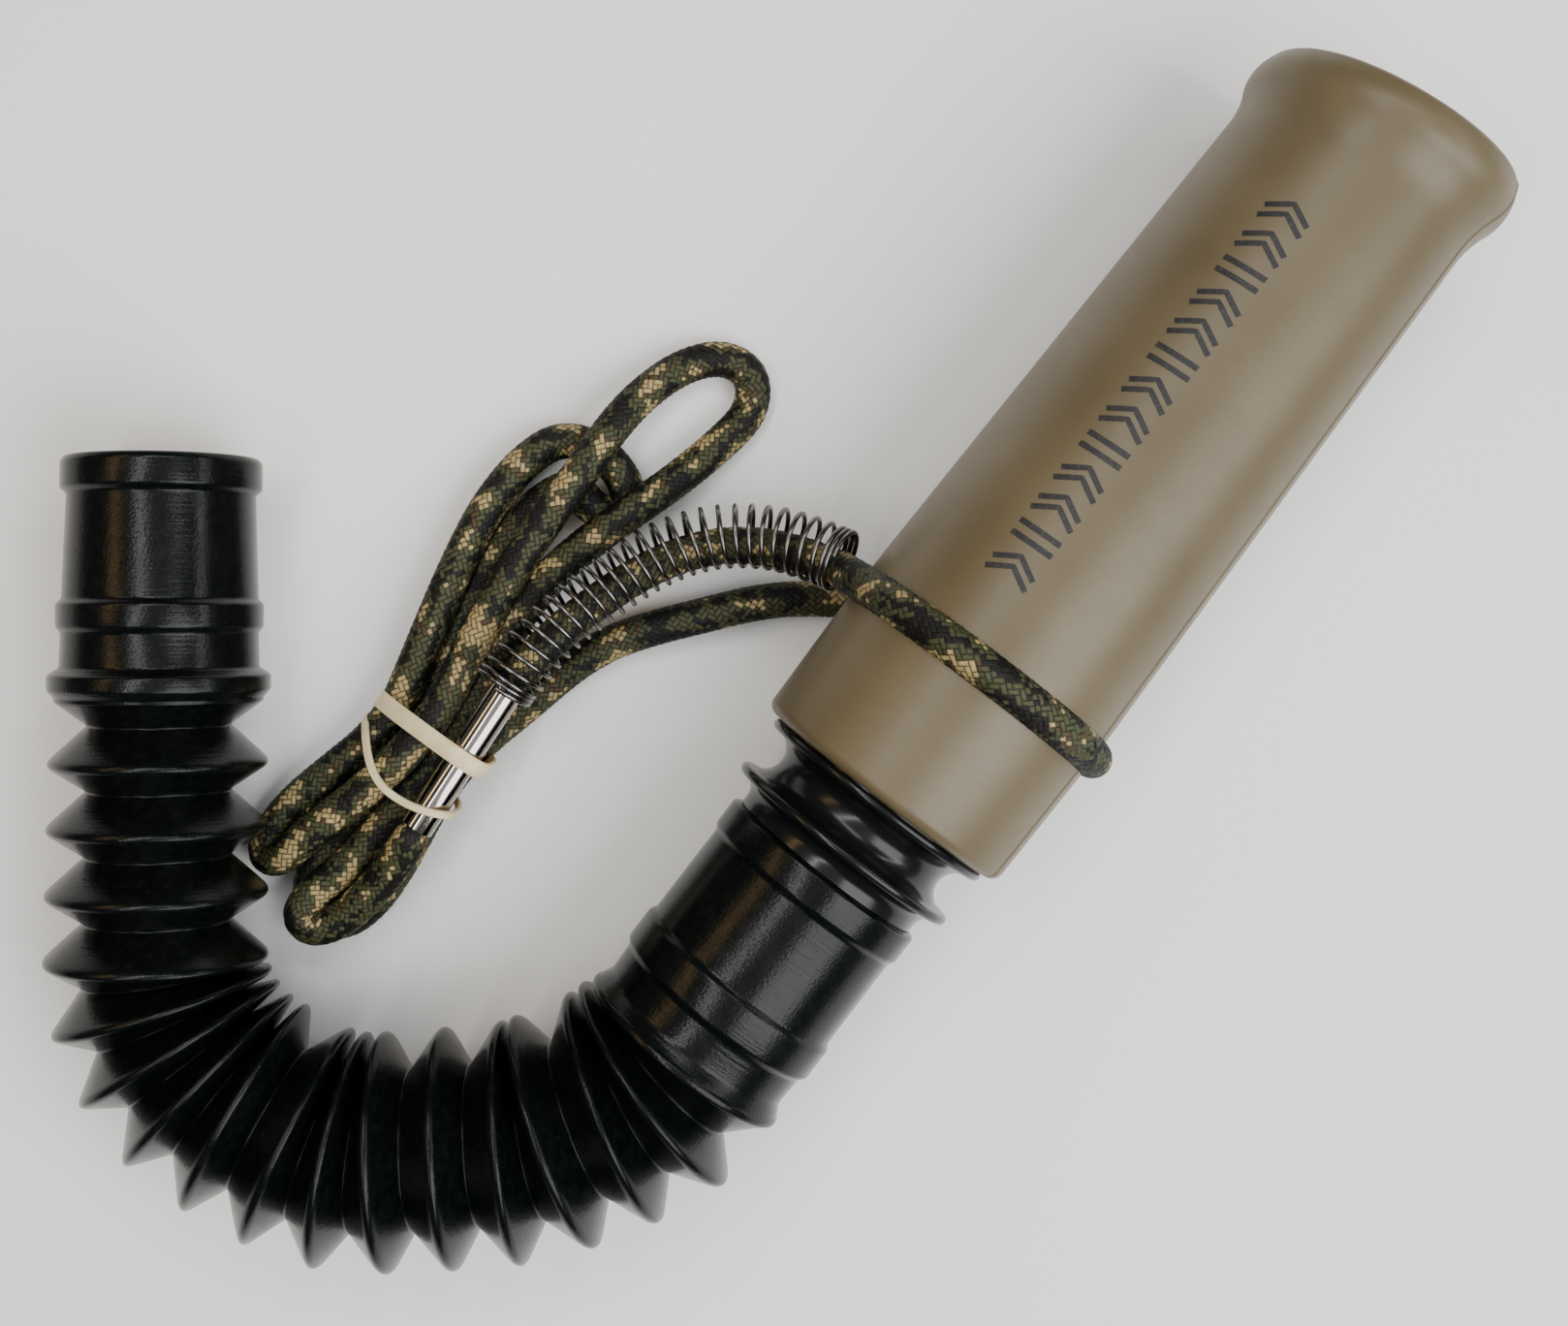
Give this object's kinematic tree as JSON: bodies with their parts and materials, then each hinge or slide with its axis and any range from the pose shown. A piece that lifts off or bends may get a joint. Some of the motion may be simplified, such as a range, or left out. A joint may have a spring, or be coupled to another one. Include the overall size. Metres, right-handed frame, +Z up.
{
  "type": "deer grunt call",
  "caption": "Hand-blown deer grunt call: flared tan barrel with a reed insert, a pleated black hose on a swivel adapter, and a folded camouflage lanyard.",
  "frame": {"origin": "on the ground, under the middle of the call's outline box (the lanyard's free cord and what is on it left out)", "axes": "+X along the barrel axis from the hose end to the mouth, +Z up; the call lies on its side on the ground and the hose curls towards +Y"},
  "size_m": [0.2169, 0.1381, 0.0424],
  "materials": {
    "tan_plastic": "satin soft-touch moulded plastic",
    "black_plastic": "glossy moulded",
    "hose_plastic": "satin gloss blow-moulded",
    "seal_rubber": "matte",
    "clear_plastic": "natural moulded",
    "reed_film": "clear polyester film",
    "cork": "cork",
    "camo_cord": "braided, olive with black, brown and tan picks",
    "spring_steel": "dark nickel wire",
    "ferrule_chrome": "polished",
    "latex_band": "translucent cream latex"
  },
  "bodies": {
    "barrel": {"barrel_shell": "tan_plastic", "mouth_insert": "black_plastic", "insert_seal_rear": "seal_rubber", "insert_seal_front": "seal_rubber", "tone_board": "clear_plastic", "reed_wedge": "cork", "lanyard_wrap": "camo_cord", "lanyard_lead": "camo_cord", "lanyard_strand": "camo_cord", "lanyard_hank": "camo_cord", "cinch_spring": "spring_steel", "ferrule": "ferrule_chrome", "rubber_band": "latex_band"},
    "reed": {"reed": "reed_film"},
    "tuning_band": {"reed_band": "seal_rubber"},
    "hose_base": {"hose_adapter": "black_plastic", "adapter_seal": "seal_rubber", "cuff_root": "hose_plastic"},
    "link_16": {"pleat_16": "hose_plastic"},
    "link_15": {"pleat_15": "hose_plastic", "pleat_14": "hose_plastic"},
    "link_13": {"pleat_13": "hose_plastic", "pleat_12": "hose_plastic", "pleat_11": "hose_plastic"},
    "link_10": {"pleat_10": "hose_plastic"},
    "link_09": {"pleat_09": "hose_plastic", "pleat_08": "hose_plastic"},
    "link_07": {"pleat_07": "hose_plastic"},
    "link_06": {"pleat_06": "hose_plastic"},
    "link_05": {"pleat_05": "hose_plastic"},
    "link_04": {"pleat_04": "hose_plastic"},
    "link_03": {"pleat_03": "hose_plastic"},
    "link_02": {"pleat_02": "hose_plastic"},
    "link_01": {"pleat_01": "hose_plastic"},
    "end_cuff": {"cuff_end": "hose_plastic"}
  },
  "joints": [
    {"name": "reed_flex", "type": "hinge", "parent": "barrel", "child": "reed", "pos_m": [0.07925, -0.04765, 0.02167], "axis": [0, 1, 0], "range_deg": [0, 3], "stiffness_Nm_per_rad": 0.002},
    {"name": "band_slide", "type": "slide", "parent": "barrel", "child": "tuning_band", "axis": [1, 0, 0], "range_m": [-0.01, 0.003]},
    {"name": "hose_swivel", "type": "hinge", "parent": "barrel", "child": "hose_base", "pos_m": [-0.00655, -0.04765, 0.0206], "axis": [1, 0, 0], "continuous": true},
    {"name": "hose_bend", "type": "hinge", "parent": "hose_base", "child": "link_16", "pos_m": [-0.05518, -0.0584, 0.02128], "axis": [0, 0.0628, 0.998], "range_deg": [0, 15]},
    {"name": "bend_15", "type": "hinge", "parent": "link_16", "child": "link_15", "pos_m": [-0.06373, -0.056, 0.02113], "axis": [0, 0.0628, 0.998], "range_deg": [0, 14]},
    {"name": "bend_13", "type": "hinge", "parent": "link_15", "child": "link_13", "pos_m": [-0.07905, -0.04701, 0.02056], "axis": [0, 0.0628, 0.998], "range_deg": [0, 15]},
    {"name": "bend_10", "type": "hinge", "parent": "link_13", "child": "link_10", "pos_m": [-0.09692, -0.02726, 0.01932], "axis": [0, 0.0628, 0.998], "range_deg": [0, 14]},
    {"name": "bend_09", "type": "hinge", "parent": "link_10", "child": "link_09", "pos_m": [-0.10083, -0.01931, 0.01882], "axis": [0, 0.0628, 0.998], "range_deg": [0, 15]},
    {"name": "bend_07", "type": "hinge", "parent": "link_09", "child": "link_07", "pos_m": [-0.10372, -0.00182, 0.01772], "axis": [0, 0.0628, 0.998], "range_deg": [0, 14.5]},
    {"name": "bend_06", "type": "hinge", "parent": "link_07", "child": "link_06", "pos_m": [-0.10259, 0.00697, 0.01716], "axis": [0, 0.0628, 0.998], "range_deg": [0, 14.5]},
    {"name": "bend_05", "type": "hinge", "parent": "link_06", "child": "link_05", "pos_m": [-0.09928, 0.01519, 0.01665], "axis": [0, 0.0628, 0.998], "range_deg": [0, 15.5]},
    {"name": "bend_04", "type": "hinge", "parent": "link_05", "child": "link_04", "pos_m": [-0.09389, 0.02223, 0.0162], "axis": [0, 0.0628, 0.998], "range_deg": [0, 16]},
    {"name": "hose_collapse", "type": "slide", "parent": "link_04", "child": "link_03", "axis": [-0.7934, -0.6076, 0.0382], "range_m": [0, 0.0045]},
    {"name": "collapse_02", "type": "slide", "parent": "link_03", "child": "link_02", "axis": [-0.7934, -0.6076, 0.0382], "range_m": [0, 0.0045]},
    {"name": "collapse_01", "type": "slide", "parent": "link_02", "child": "link_01", "axis": [-0.7934, -0.6076, 0.0382], "range_m": [0, 0.0045]},
    {"name": "collapse_cuff", "type": "slide", "parent": "link_01", "child": "end_cuff", "axis": [-0.7934, -0.6076, 0.0382], "range_m": [0, 0.0045]}
  ],
  "couplings": [
    {"joint": "bend_15", "follows": "hose_bend", "ratio": 0.93333},
    {"joint": "bend_13", "follows": "hose_bend", "ratio": 1},
    {"joint": "bend_10", "follows": "hose_bend", "ratio": 0.93333},
    {"joint": "bend_09", "follows": "hose_bend", "ratio": 1},
    {"joint": "bend_07", "follows": "hose_bend", "ratio": 0.96667},
    {"joint": "bend_06", "follows": "hose_bend", "ratio": 0.96667},
    {"joint": "bend_05", "follows": "hose_bend", "ratio": 1.0333},
    {"joint": "bend_04", "follows": "hose_bend", "ratio": 1.0667},
    {"joint": "collapse_02", "follows": "hose_collapse", "ratio": 1},
    {"joint": "collapse_01", "follows": "hose_collapse", "ratio": 1},
    {"joint": "collapse_cuff", "follows": "hose_collapse", "ratio": 1}
  ]
}
